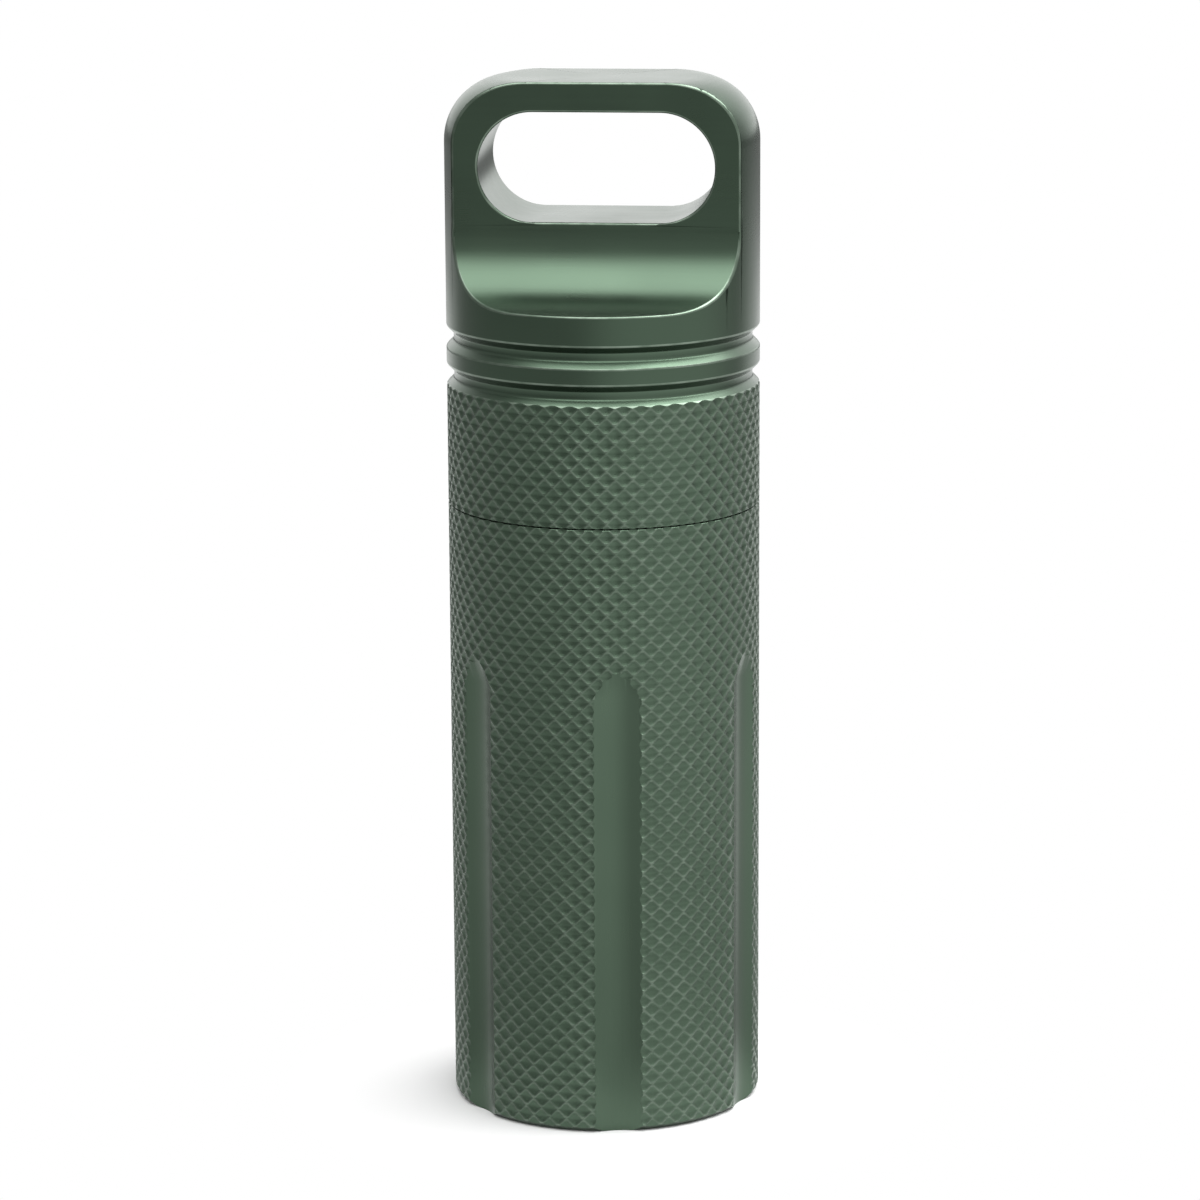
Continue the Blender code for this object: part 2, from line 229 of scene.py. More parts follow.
def grown(name, tree, values, mesh=None):
    """Run a Geometry Nodes tree with its inputs set, and return the plain mesh as an object."""
    item = bpy.data.objects.new(name, mesh or bpy.data.meshes.new(name))
    bpy.context.scene.collection.objects.link(item)
    modifier = item.modifiers.new(tree.name, "NODES")
    modifier.node_group = tree
    for socket in tree.interface.items_tree:
        if socket.in_out == "INPUT" and socket.name in values:
            modifier[socket.identifier] = values[socket.name]
    return baked(item)


def baked(item):
    """Replace an object's mesh by what its modifiers make of it, and drop them."""
    graph = bpy.context.evaluated_depsgraph_get()
    mesh = bpy.data.meshes.new_from_object(item.evaluated_get(graph))
    mesh.name = item.name
    item.modifiers.clear()
    item.data = mesh
    return item


def knurl_depth(tree, given, column, row):
    """Depth of the knurl at a point, from the nearer of its two sets of crest lines."""
    half_tooth = add_node(tree, MATHS, {0: given["Steps a tooth"], 1: 0.5}, operation="MULTIPLY")
    rising = add_node(tree, MATHS, {0: column, 1: row}, operation="ADD")
    rising = add_node(tree, MATHS, {0: rising, 1: half_tooth}, operation="PINGPONG")
    falling = add_node(tree, MATHS, {0: column, 1: row}, operation="SUBTRACT")
    falling = add_node(tree, MATHS, {0: falling, 1: half_tooth}, operation="PINGPONG")
    ridge = add_node(tree, MATHS, {0: rising, 1: falling}, operation="MAXIMUM")
    ridge = add_node(tree, MATHS, {0: ridge, 1: half_tooth}, operation="DIVIDE")
    ridge = add_node(tree, MATHS, {0: ridge, 1: given["Sharpness"]}, operation="POWER")
    valley = add_node(tree, MATHS, {0: 1.0, 1: ridge}, operation="SUBTRACT")
    return add_node(tree, MATHS, {0: valley, 1: given["Depth"]}, operation="MULTIPLY")


def staggered_grid(tree, columns, loop_rows):
    """Grid, with each point's row, and its column in half steps, by which odd rows are staggered."""
    grid = add_node(tree, "GeometryNodeMeshGrid", {
        "Size X": columns,
        "Size Y": loop_rows,
        "Vertices X": add_node(tree, MATHS, {0: columns, 1: 1.0}, operation="ADD"),
        "Vertices Y": add_node(tree, MATHS, {0: loop_rows, 1: 1.0}, operation="ADD"),
    })

    # The grid's points are one apart, and its middle is at the origin
    place = add_node(tree, "GeometryNodeInputPosition")
    place = add_node(tree, "ShaderNodeSeparateXYZ", {0: place}).outputs
    number = add_node(tree, MATHS, {0: columns, 1: 0.5, 2: place[0]}, operation="MULTIPLY_ADD")
    number = add_node(tree, MATHS, {0: number}, operation="ROUND")
    row = add_node(tree, MATHS, {0: loop_rows, 1: 0.5, 2: place[1]}, operation="MULTIPLY_ADD")
    row = add_node(tree, MATHS, {0: row}, operation="ROUND")
    row = add_node(tree, MATHS, {0: row, 1: loop_rows}, operation="FLOORED_MODULO")
    is_odd = add_node(tree, MATHS, {0: row, 1: 2.0}, operation="FLOORED_MODULO")
    column = add_node(tree, MATHS, {0: number, 1: 2.0, 2: is_odd}, operation="MULTIPLY_ADD")
    return grid, column, row


def sleeve_section(tree, given, rows, row, sunk):
    """Radius and level of a point: the knurled bore, and then two rows that are the outside."""
    bore = add_node(tree, MATHS, {0: given["Radius"], 1: sunk}, operation="SUBTRACT")
    outer = add_node(tree, MATHS, {0: given["Radius"], 1: given["Wall"]}, operation="ADD")
    top_row = add_node(tree, MATHS, {0: rows, 1: 0.5}, operation="ADD")
    bottom_row = add_node(tree, MATHS, {0: rows, 1: 1.5}, operation="ADD")
    is_outer = add_node(tree, MATHS, {0: row, 1: top_row}, operation="GREATER_THAN")
    is_low = add_node(tree, MATHS, {0: row, 1: bottom_row}, operation="GREATER_THAN")
    radius = add_node(tree, "ShaderNodeMix", {0: is_outer, 2: bore, 3: outer})
    level = add_node(tree, MATHS, {0: row, 1: rows}, operation="MINIMUM")
    level = add_node(tree, "ShaderNodeMix", {0: is_low, 2: level, 3: 0.0})
    return radius, level


def knurl_tree():
    """Sleeve of metal that a diamond knurling tool presses away, with the knurl as its bore.

    The grid's points stand in staggered rows, so that both sets of crest lines lie on its edges.
    """
    tree, given = new_tree("knurl_sleeve", [
        ("Radius", "NodeSocketFloat"),
        ("Depth", "NodeSocketFloat"),
        ("Sharpness", "NodeSocketFloat"),
        ("Wall", "NodeSocketFloat"),
        ("Bottom", "NodeSocketFloat"),
        ("Teeth", "NodeSocketInt"),
        ("Teeth high", "NodeSocketInt"),
        ("Steps a tooth", "NodeSocketInt"),
        ("Material", "NodeSocketMaterial"),
    ])
    around = add_node(tree, MATHS, {0: given["Teeth"], 1: given["Steps a tooth"]}, operation="MULTIPLY")
    columns = add_node(tree, MATHS, {0: around, 1: 0.5}, operation="MULTIPLY")
    rows = add_node(tree, MATHS, {0: given["Teeth high"], 1: given["Steps a tooth"]}, operation="MULTIPLY")

    # The section's loop goes up the bore, over the two outside rows and back to its first row
    loop_rows = add_node(tree, MATHS, {0: rows, 1: 3.0}, operation="ADD")
    grid, column, row = staggered_grid(tree, columns, loop_rows)
    sunk = knurl_depth(tree, given, column, row)
    radius, level = sleeve_section(tree, given, rows, row, sunk)
    girth = add_node(tree, MATHS, {0: given["Radius"], 1: math.tau}, operation="MULTIPLY")
    step = add_node(tree, MATHS, {0: girth, 1: around}, operation="DIVIDE")
    height = add_node(tree, MATHS, {0: level, 1: step, 2: given["Bottom"]}, operation="MULTIPLY_ADD")
    turn = add_node(tree, MATHS, {0: column, 1: around}, operation="DIVIDE")
    turn = add_node(tree, MATHS, {0: turn, 1: math.tau}, operation="MULTIPLY")
    sleeve = wrapped(tree, grid, radius, turn, height)
    split = add_node(tree, "GeometryNodeTriangulate", {0: sleeve}, quad_method="SHORTEST_DIAGONAL")
    flipped = add_node(tree, "GeometryNodeFlipFaces", {0: split})
    end_tree(tree, flipped, given["Material"])
    return tree


def thread_section(tree, given, across, swell, climb):
    """Radius and height of a point on the ridge's section, which swells out of its core.

    Corners 0 and 3 stand on the core, 1 and 2 on the crest, and the first two are the upper ones.
    """
    corner = add_node(tree, MATHS, {0: across, 1: THREAD_CORNERS / 2}, operation="ADD")
    corner = add_node(tree, MATHS, {0: corner}, operation="ROUND")
    corner = add_node(tree, MATHS, {0: corner, 1: float(THREAD_CORNERS)}, operation="FLOORED_MODULO")
    on_crest = add_node(tree, MATHS, {0: corner, 1: 1.5, 2: 0.6}, operation="COMPARE")
    is_lower = add_node(tree, MATHS, {0: corner, 1: 1.5}, operation="GREATER_THAN")
    side = add_node(tree, MATHS, {0: is_lower, 1: -2.0, 2: 1.0}, operation="MULTIPLY_ADD")
    radii = {0: on_crest, 2: given["Inner radius"], 3: given["Outer radius"]}
    radius = add_node(tree, "ShaderNodeMix", radii)
    radius = add_node(tree, "ShaderNodeMix", {0: swell, 2: given["Inner radius"], 3: radius})
    halves = {0: on_crest, 2: given["Inner half"], 3: given["Outer half"]}
    half = add_node(tree, "ShaderNodeMix", halves)
    half = add_node(tree, MATHS, {0: half, 1: swell}, operation="MULTIPLY")
    height = add_node(tree, MATHS, {0: half, 1: side, 2: climb}, operation="MULTIPLY_ADD")
    return radius, height


def thread_tree():
    """Ridge of a right-hand thread that swells out of its core and runs out again."""
    tree, given = new_tree("thread_ridge", [
        ("Inner radius", "NodeSocketFloat"),
        ("Outer radius", "NodeSocketFloat"),
        ("Inner half", "NodeSocketFloat"),
        ("Outer half", "NodeSocketFloat"),
        ("Start", "NodeSocketFloat"),
        ("Pitch", "NodeSocketFloat"),
        ("Turns", "NodeSocketFloat"),
        ("Runout", "NodeSocketFloat"),
        ("Steps a turn", "NodeSocketInt"),
        ("Material", "NodeSocketMaterial"),
    ])
    columns = add_node(tree, MATHS, {0: given["Turns"], 1: given["Steps a turn"]}, operation="MULTIPLY")
    columns = add_node(tree, MATHS, {0: columns}, operation="ROUND")
    grid = add_node(tree, "GeometryNodeMeshGrid", {
        "Size X": 1.0,
        "Size Y": float(THREAD_CORNERS),
        "Vertices X": add_node(tree, MATHS, {0: columns, 1: 1.0}, operation="ADD"),
        "Vertices Y": THREAD_CORNERS + 1,
    })
    place = add_node(tree, "GeometryNodeInputPosition")
    place = add_node(tree, "ShaderNodeSeparateXYZ", {0: place}).outputs
    turns = add_node(tree, MATHS, {0: place[0], 1: 0.5}, operation="ADD")
    turns = add_node(tree, MATHS, {0: turns, 1: given["Turns"]}, operation="MULTIPLY")
    left = add_node(tree, MATHS, {0: given["Turns"], 1: turns}, operation="SUBTRACT")
    near = add_node(tree, MATHS, {0: turns, 1: left}, operation="MINIMUM")
    swell = add_node(tree, "ShaderNodeMapRange", {0: near, 1: 0.0, 2: given["Runout"]})
    climb = {0: turns, 1: given["Pitch"], 2: given["Start"]}
    climb = add_node(tree, MATHS, climb, operation="MULTIPLY_ADD")
    radius, height = thread_section(tree, given, place[1], swell, climb)
    turn = add_node(tree, MATHS, {0: turns, 1: math.tau}, operation="MULTIPLY")
    end_tree(tree, wrapped(tree, grid, radius, turn, height), given["Material"])
    return tree


def round_tree():
    """Copies of a shape at equal steps round the capsule's axis."""
    tree, given = new_tree("placed_round", [
        ("Shape", "NodeSocketGeometry"),
        ("Count", "NodeSocketInt"),
        ("First turn", "NodeSocketFloat"),
        ("Material", "NodeSocketMaterial"),
    ])
    index = add_node(tree, "GeometryNodeInputIndex")
    step = add_node(tree, MATHS, {0: math.tau, 1: given["Count"]}, operation="DIVIDE")
    turn = add_node(tree, MATHS, {0: index, 1: step, 2: given["First turn"]}, operation="MULTIPLY_ADD")
    copies = add_node(tree, "GeometryNodeInstanceOnPoints", {
        "Points": add_node(tree, "GeometryNodePoints", {0: given["Count"]}),
        "Instance": given["Shape"],
        "Rotation": add_node(tree, "ShaderNodeCombineXYZ", {2: turn}),
    })
    end_tree(tree, copies, given["Material"])
    return tree


def ring_tree():
    """Round ring of round section, such as a rubber seal."""
    tree, given = new_tree("round_ring", [
        ("Radius", "NodeSocketFloat"),
        ("Section radius", "NodeSocketFloat"),
        ("Height", "NodeSocketFloat"),
        ("Material", "NodeSocketMaterial"),
    ])
    circle = "GeometryNodeCurvePrimitiveCircle"
    path = add_node(tree, circle, {"Resolution": TURNED_STEPS, "Radius": given["Radius"]})
    section = add_node(tree, circle, {"Resolution": SEAL_STEPS, "Radius": given["Section radius"]})
    ring = add_node(tree, "GeometryNodeCurveToMesh", {0: path, 1: section})
    lift = add_node(tree, "ShaderNodeCombineXYZ", {2: given["Height"]})
    raised = add_node(tree, "GeometryNodeTransform", {"Geometry": ring, "Translation": lift})
    end_tree(tree, raised, given["Material"])
    return tree


def arc(centre, radius, start, end, steps):
    """Points on a circle in a plane, both ends included."""
    points = []
    for step in range(steps + 1):
        angle = start + (end - start) * step / steps
        points.append((centre[0] + radius * math.cos(angle), centre[1] + radius * math.sin(angle)))
    return points


def eased(profile, size):
    """Round off a profile's corners, no further than a third of the way to the next point.

    Each long side also gets a point near both its ends, so that it stays straight when shaded.
    """
    points = [Vector(profile[0])]
    for before, corner, after in zip(profile, profile[1:], profile[2:]):
        here = Vector(corner)
        back = Vector(before) - here
        ahead = Vector(after) - here
        if back.angle(-ahead) < SHARP_ANGLE:
            points.append(here)
            continue
        first = here + back * min(size / back.length, 1 / 3)
        last = here + ahead * min(size / ahead.length, 1 / 3)
        points += [first, (first + 2 * here + last) / 4, last]
    points.append(Vector(profile[-1]))
    braced = [points[0]]
    for start, end in zip(points, points[1:]):
        step = (end - start).normalized() * size
        if (end - start).length > LONG_SIDE:
            braced += [start + step, end - step]
        braced.append(end)
    return [tuple(point) for point in braced]


def object_from(name, shape, material):
    """Merge, orient and store a closed shape as an object of one material."""
    bmesh.ops.remove_doubles(shape, verts=shape.verts, dist=MERGE)
    bmesh.ops.recalc_face_normals(shape, faces=shape.faces)
    mesh = bpy.data.meshes.new(name)
    shape.to_mesh(mesh)
    shape.free()
    mesh.materials.append(material)
    item = bpy.data.objects.new(name, mesh)
    bpy.context.scene.collection.objects.link(item)
    return item


def turned(name, profile, material):
    """Turn a profile of radius and height points, from axis to axis, into a solid."""
    shape = bmesh.new()
    points = [shape.verts.new((radius, 0.0, height)) for radius, height in profile]
    edges = [shape.edges.new(pair) for pair in zip(points, points[1:])]
    bmesh.ops.spin(shape, geom=points + edges, cent=(0, 0, 0), axis=(0, 0, 1), angle=math.tau,
                   steps=TURNED_STEPS, use_merge=False)
    return object_from(name, shape, material)


def lofted(name, rings, material):
    """Close a solid through rings of equally many points."""
    shape = bmesh.new()
    loops = [[shape.verts.new(point) for point in ring] for ring in rings]
    for low, high in zip(loops, loops[1:]):
        for index in range(len(low)):
            shape.faces.new((low[index - 1], low[index], high[index], high[index - 1]))
    shape.faces.new(loops[0])
    shape.faces.new(loops[-1])
    return object_from(name, shape, material)


def prism(name, outline, along, material):
    """Stretch an outline through the whole capsule, along X or along Y."""
    half = OUTER_RADIUS + OVERRUN
    if along == "Y":
        rings = [[(across, side, up) for across, up in outline] for side in (-half, half)]
    else:
        rings = [[(side, across, up) for across, up in outline] for side in (-half, half)]
    return lofted(name, rings, material)


def machine(item, cuts, solver):
    """Cut or join a piece by other solids, in order."""
    for tool, operation in cuts:
        boolean = item.modifiers.new(tool.name, "BOOLEAN")
        boolean.operation = operation
        boolean.solver = solver
        boolean.object = tool
        boolean.material_mode = "TRANSFER"
    baked(item)
    for tool, operation in cuts:
        bpy.data.objects.remove(tool)
    return item


def knurl_sleeve(tree, name, bottom, top, material):
    """Metal that the knurling tool takes off one band of the bar, in whole teeth."""
    radius = OUTER_RADIUS - KNURL_SKIN
    tooth = math.tau * radius / KNURL_TEETH
    return grown(name, tree, {
        "Radius": radius,
        "Depth": KNURL_DEPTH,
        "Sharpness": KNURL_SHARPNESS,
        "Wall": KNURL_WALL,
        "Bottom": bottom - KNURL_OVERRUN,
        "Teeth": KNURL_TEETH,
        "Teeth high": math.ceil((top - bottom + 2 * KNURL_OVERRUN) / tooth),
        "Steps a tooth": KNURL_STEPS,
        "Material": material,
    })


def thread_ridge(tree, name, inner, outer, clearance, start, end, runout, material):
    """One thread's ridge between two heights, widened by a clearance."""
    slope = math.tan(FLANK_ANGLE)
    widening = clearance / math.cos(FLANK_ANGLE)
    ridge = grown(name, tree, {
        "Inner radius": inner,
        "Outer radius": outer,
        "Inner half": THREAD_CREST / 2 + (CREST_RADIUS - inner) * slope + widening,
        "Outer half": THREAD_CREST / 2 + (CREST_RADIUS - outer) * slope + widening,
        "Start": start,
        "Pitch": THREAD_PITCH,
        "Turns": (end - start) / THREAD_PITCH,
        "Runout": runout,
        "Steps a turn": THREAD_STEPS,
        "Material": material,
    })
    shape = bmesh.new()
    shape.from_mesh(ridge.data)
    bmesh.ops.recalc_face_normals(shape, faces=shape.faces)
    shape.to_mesh(ridge.data)
    shape.free()
    return ridge


def tube_profile():
    """Inside of the tube from its floor to the rim, then its outside down to the base."""
    bore = ROOT_RADIUS + THREAD_CLEARANCE
    major = CREST_RADIUS + THREAD_CLEARANCE
    fillet = (CAVITY_RADIUS - FLOOR_FILLET, BASE_THICKNESS + FLOOR_FILLET)
    return eased([
        (0.0, BASE_THICKNESS),
        *arc(fillet, FLOOR_FILLET, -math.pi / 2, 0.0, FILLET_STEPS),
        (CAVITY_RADIUS, LEDGE_Z),
        (major, LEDGE_Z),
        (major, LEDGE_Z + RELIEF_HEIGHT),
        (bore, LEDGE_Z + RELIEF_HEIGHT + major - bore),
        (bore, MOUTH_FLOOR_Z - MOUTH_RADIUS + bore),
        (MOUTH_RADIUS, MOUTH_FLOOR_Z),
        (MOUTH_RADIUS, RIM_Z - MOUTH_CHAMFER),
        (MOUTH_RADIUS + MOUTH_CHAMFER, RIM_Z),
        (OUTER_RADIUS - SEAM_CHAMFER, RIM_Z),
        (OUTER_RADIUS, RIM_Z - SEAM_CHAMFER),
        (OUTER_RADIUS, BASE_CHAMFER),
        (OUTER_RADIUS - BASE_CHAMFER, 0.0),
        (0.0, 0.0),
    ], TURNED_EDGE)


def flute_cutters(tree, material):
    """Metal that the flutes' tool takes off, round the tube."""
    inner = OUTER_RADIUS + FLUTE_SECTION_RADIUS - FLUTE_DEPTH
    rise = FLUTE_RAMP + OVERRUN
    outer = inner + rise * FLUTE_DEPTH / FLUTE_RAMP
    ramp_z = FLUTE_TOP_Z - FLUTE_RAMP
    rings = []
    for middle, height in ((inner, -OVERRUN), (inner, ramp_z), (outer, ramp_z + rise)):
        circle = arc((middle, 0.0), FLUTE_SECTION_RADIUS, 0.0, math.tau, FLUTE_STEPS)
        rings.append([(x, y, height) for x, y in circle[:-1]])
    tool = lofted("flute_tool", rings, material)
    mesh = tool.data
    bpy.data.objects.remove(tool)
    return grown("flute_tools", tree, {
        "Count": FLUTE_COUNT,
        "First turn": FLUTE_TURN - math.pi / 2,
        "Material": material,
    }, mesh)


def make_tube(trees, finishes):
    """Tube: turned, knurled all over, fluted, bored and threaded."""
    tube = turned("tube_shell", tube_profile(), finishes["turned"])
    sleeve = knurl_sleeve(trees["knurl"], "tube_knurl", 0.0, RIM_Z, finishes["knurled"])
    flutes = flute_cutters(trees["round"], finishes["fluted"])
    groove = thread_ridge(trees["thread"], "tube_thread", ROOT_RADIUS, CREST_RADIUS + THREAD_CLEARANCE,
                          THREAD_CLEARANCE, THREAD_START_Z, MOUTH_FLOOR_Z + THREAD_PITCH,
                          TUBE_RUNOUT_TURNS, finishes["turned"])
    return machine(tube, [(tool, "DIFFERENCE") for tool in (sleeve, flutes, groove)], "MANIFOLD")


def groove_points(bottom):
    """One flat-bottomed V groove of the cap, from its upper edge to its lower one."""
    middle = bottom + GROOVE_WIDTH / 2
    floor_radius = OUTER_RADIUS - GROOVE_DEPTH
    return [
        (OUTER_RADIUS, bottom + GROOVE_WIDTH),
        (floor_radius, middle + GROOVE_FLOOR / 2),
        (floor_radius, middle - GROOVE_FLOOR / 2),
        (OUTER_RADIUS, bottom),
    ]


def plug_points():
    """Outside of the plug, from the shoulder down to its end."""
    seal_top = SHOULDER_Z - UPPER_LAND
    seal_bottom = seal_top - SEAL_GROOVE_WIDTH
    land_end = seal_bottom - LOWER_LAND
    return [
        (CREST_RADIUS, SHOULDER_Z),
        (CREST_RADIUS, seal_top),
        (SEAL_GROOVE_RADIUS, seal_top),
        (SEAL_GROOVE_RADIUS, seal_bottom),
        (CREST_RADIUS, seal_bottom),
        (CREST_RADIUS, land_end),
        (ROOT_RADIUS, land_end - CREST_RADIUS + ROOT_RADIUS),
        (ROOT_RADIUS, PLUG_END_Z + PLUG_CHAMFER),
        (ROOT_RADIUS - PLUG_CHAMFER, PLUG_END_Z),
    ]


def cap_profile():
    """Outside of the cap from its top down, then the plug and the hollow inside it."""
    corner = (OUTER_RADIUS - CORNER_RADIUS, TOP_Z - CORNER_RADIUS)
    fillet = (PLUG_BORE_RADIUS - ROOF_FILLET, ROOF_Z - ROOF_FILLET)
    return eased([
        (0.0, TOP_Z),
        *arc(corner, CORNER_RADIUS, math.pi / 2, 0.0, CORNER_STEPS),
        *groove_points(BAND_TOP_Z + GROOVE_WIDTH + BEAD_WIDTH),
        *groove_points(BAND_TOP_Z),
        (OUTER_RADIUS, SHOULDER_Z + SEAM_CHAMFER),
        (OUTER_RADIUS - SEAM_CHAMFER, SHOULDER_Z),
        *plug_points(),
        (PLUG_BORE_RADIUS, PLUG_END_Z),
        *arc(fillet, ROOF_FILLET, 0.0, math.pi / 2, FILLET_STEPS),
        (0.0, ROOF_Z),
    ], TURNED_EDGE)


def scallop_outline(side):
    """Side view of what is milled off one side of the loop, down to its concave foot."""
    face = LOOP_THICKNESS / 2
    centre = (face + SCALLOP_RADIUS, SCALLOP_FOOT_Z + SCALLOP_RADIUS)
    outside = OUTER_RADIUS + OVERRUN
    points = [
        (face, TOP_Z + OVERRUN),
        (face, centre[1] + TURNED_EDGE),
        *arc(centre, SCALLOP_RADIUS, math.pi, 1.5 * math.pi, SCALLOP_STEPS),
        (outside, SCALLOP_FOOT_Z),
        (outside, TOP_Z + OVERRUN),
    ]
    return [(side * across, up) for across, up in points]


def slot_outline():
    """Front view of the loop's slot, a straight-sided hole with round ends."""
    radius = SLOT_HEIGHT / 2
    reach = OUTER_RADIUS - LOOP_SIDE_WALL - radius
    centre_z = SLOT_Z + radius
    right = arc((reach, centre_z), radius, -math.pi / 2, math.pi / 2, SLOT_END_STEPS)
    left = arc((-reach, centre_z), radius, math.pi / 2, 1.5 * math.pi, SLOT_END_STEPS)
    return right + left


def break_edges(item):
    """Round the milled edges of the loop."""
    shape = bmesh.new()
    shape.from_mesh(item.data)
    bmesh.ops.remove_doubles(shape, verts=shape.verts, dist=TIDY_MERGE)

    # Faces of many corners are split first, because the rounding would spoil them
    large = [face for face in shape.faces if len(face.verts) > 4]
    bmesh.ops.triangulate(shape, faces=large, ngon_method="BEAUTY")
    crisp = []
    for edge in shape.edges:
        low = min(vert.co.z for vert in edge.verts)
        if low > SCALLOP_FOOT_Z - MERGE and edge.calc_face_angle(0.0) > SHARP_ANGLE:
            crisp.append(edge)
    bmesh.ops.bevel(shape, geom=crisp, offset=LOOP_EDGE, segments=EDGE_STEPS, profile=0.5,
                    affect="EDGES", clamp_overlap=False, loop_slide=True)
    shape.to_mesh(item.data)
    shape.free()
    return item


def make_cap(trees, finishes):
    """Cap: turned, milled to a loop, knurled, hollow and threaded."""
    cap = turned("cap_shell", cap_profile(), finishes["turned"])
    mills = [
        prism("front_scallop", scallop_outline(-1), "X", finishes["milled"]),
        prism("back_scallop", scallop_outline(1), "X", finishes["milled"]),
        prism("slot_cutter", slot_outline(), "Y", finishes["milled"]),
    ]
    machine(cap, [(mill, "DIFFERENCE") for mill in mills], "EXACT")
    break_edges(cap)
    sleeve = knurl_sleeve(trees["knurl"], "cap_knurl", SHOULDER_Z, BAND_TOP_Z, finishes["knurled"])
    land_end = SHOULDER_Z - UPPER_LAND - SEAL_GROOVE_WIDTH - LOWER_LAND
    ridge = thread_ridge(trees["thread"], "plug_thread", ROOT_RADIUS - THREAD_CLEARANCE, CREST_RADIUS,
                         0.0, THREAD_START_Z, land_end, PLUG_RUNOUT_TURNS, finishes["turned"])
    return machine(cap, [(sleeve, "DIFFERENCE"), (ridge, "UNION")], "MANIFOLD")


def make_seal(trees, rubber):
    """Sealing ring in the plug's groove."""
    return grown("sealing_ring", trees["ring"], {
        "Radius": SEAL_RADIUS,
        "Section radius": SEAL_SECTION / 2,
        "Height": SEAL_Z,
        "Material": rubber,
    })


def sharpest_turn(face):
    """Largest outward turn over a face's edges."""
    return max(edge.calc_face_angle_signed(0.0) for edge in face.edges)


def strip_width(face):
    """Width of a long face, where a triangle is taken as half of a strip."""
    share = 2 if len(face.verts) == 3 else 1
    return share * face.calc_area() / max(edge.calc_length() for edge in face.edges)


def mark_edges(mesh):
    """Mark the narrow strips of rounded outer edges for their pale tone, wearing plus a painted highlight,
    and keep flat faces flat.
    """
    knurl_slot = mesh.materials.find(KNURLED_FINISH)
    shape = bmesh.new()
    shape.from_mesh(mesh)
    wear_and_highlight_mark = shape.faces.layers.float.new("wear_and_highlight_mark")
    strips = []
    for face in shape.faces:
        face.smooth = max(abs(part) for part in face.normal) < FLAT_NORMAL
        at_seam = abs(face.calc_center_median().z - RIM_Z) < SEAM_REACH
        is_edge = face.smooth and not at_seam and face.material_index != knurl_slot
        if is_edge and strip_width(face) < STRIP_WIDTH:
            strips.append(face)
            # A marked strip is painted pale: the dye rubbing off, plus a painted highlight along the edge
            face[wear_and_highlight_mark] = float(sharpest_turn(face) > STRIP_ANGLE)

    # A strip's other triangle turns half as much, and lies flat against one that is marked
    for face in strips:
        if STRIP_ANGLE / 2 < sharpest_turn(face) < STRIP_ANGLE:
            flat = [edge for edge in face.edges if edge.calc_face_angle(0.0) < FLAT_ANGLE]
            face[wear_and_highlight_mark] = max([other[wear_and_highlight_mark] for edge in flat for other in edge.link_faces], default=0.0)
    for edge in shape.edges:
        if len({face[wear_and_highlight_mark] for face in edge.link_faces}) == 2:
            edge.smooth = False
    shape.to_mesh(mesh)
    shape.free()


def put_on(item, body, node):
    """Shade a finished piece, put it in its CAD node's place and let it ride."""
    item.data.shade_smooth()
    item.data.set_sharp_from_angle(angle=SHARP_ANGLE)
    mark_edges(item.data)
    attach(item, body)
    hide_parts(node)


# The anodised metal's colours, and where and how far handling rubs the dye off; along the rounded outer
# edges the pale tone is also a painted highlight
DEEP_DYE = "455948"
PALE_DYE = "4e6150"
WORN_AND_HIGHLIGHT_TONE = "8b9a8c"
DYE_CLOUD = 11.0 * MM
CREST_BLEND = 0.07 * MM
WEAR_AND_HIGHLIGHT_PATCH = 1.6 * MM
PATCH_LOW = 0.35
PATCH_HIGH = 0.65
LEAST_WEAR_AND_HIGHLIGHT = 0.15
MOST_WEAR_AND_HIGHLIGHT = 0.4
EDGE_WEAR_AND_HIGHLIGHT_GAIN = 1.5

# The metal's gloss; the oxide's grain and the cutter's marks are drawn coarser than real, to show
SHEEN_CLOUD = 6.0 * MM
SHEEN_LOW = 0.3
SHEEN_HIGH = 0.7
SHEEN_SPREAD = 0.03
STREAK_SPREAD = 0.03
OXIDE_GLINT = 0.4
OXIDE_ROUGHNESS = 0.25
GRAIN = 0.16 * MM
GRAIN_DEPTH = 0.0012 * MM
TURNING_MARK = 0.2 * MM
CUT_WIDTH = 0.25 * MM
CUT_LENGTH = 9.0 * MM
CUT_DEPTH = 0.0016 * MM
CUT_ROUGHNESS = 0.3
PRESS_MARK = 0.3 * MM
PRESS_DEPTH = 0.002 * MM
PRESS_ROUGHNESS = 0.36

# The sealing ring's rubber
RUBBER_BLACK = "181818"
RUBBER_GREY = "262626"
RUBBER_BLOOM = 2.5 * MM
RUBBER_LEAST_ROUGH = 0.5
RUBBER_MOST_ROUGH = 0.7
RUBBER_PEBBLE = 0.2 * MM
PEBBLE_DEPTH = 0.004 * MM


def new_material(name):
    """Start a material with no nodes."""
    material = bpy.data.materials.new(name)
    material.use_nodes = True
    material.node_tree.nodes.clear()
    return material, material.node_tree


def rubbed_crests(tree, radius):
    """How near a spot on the knurl is to the crests, which handling rubs."""
    start = OUTER_RADIUS - KNURL_SKIN - CREST_BLEND
    crest = add_node(tree, MATHS, {0: radius, 1: start}, operation="SUBTRACT")
    return add_node(tree, MATHS, {0: crest, 1: CREST_BLEND}, operation="DIVIDE", use_clamp=True)


def edge_wear_and_highlight(tree):
    """How pale a spot is painted by the mark on the rounded outer edges: handling that rubs the dye off,
    plus a painted highlight.
    """
    marked = add_node(tree, "ShaderNodeAttribute", attribute_name="wear_and_highlight_mark").outputs["Fac"]
    return add_node(tree, MATHS, {0: marked, 1: EDGE_WEAR_AND_HIGHLIGHT_GAIN}, operation="MULTIPLY")


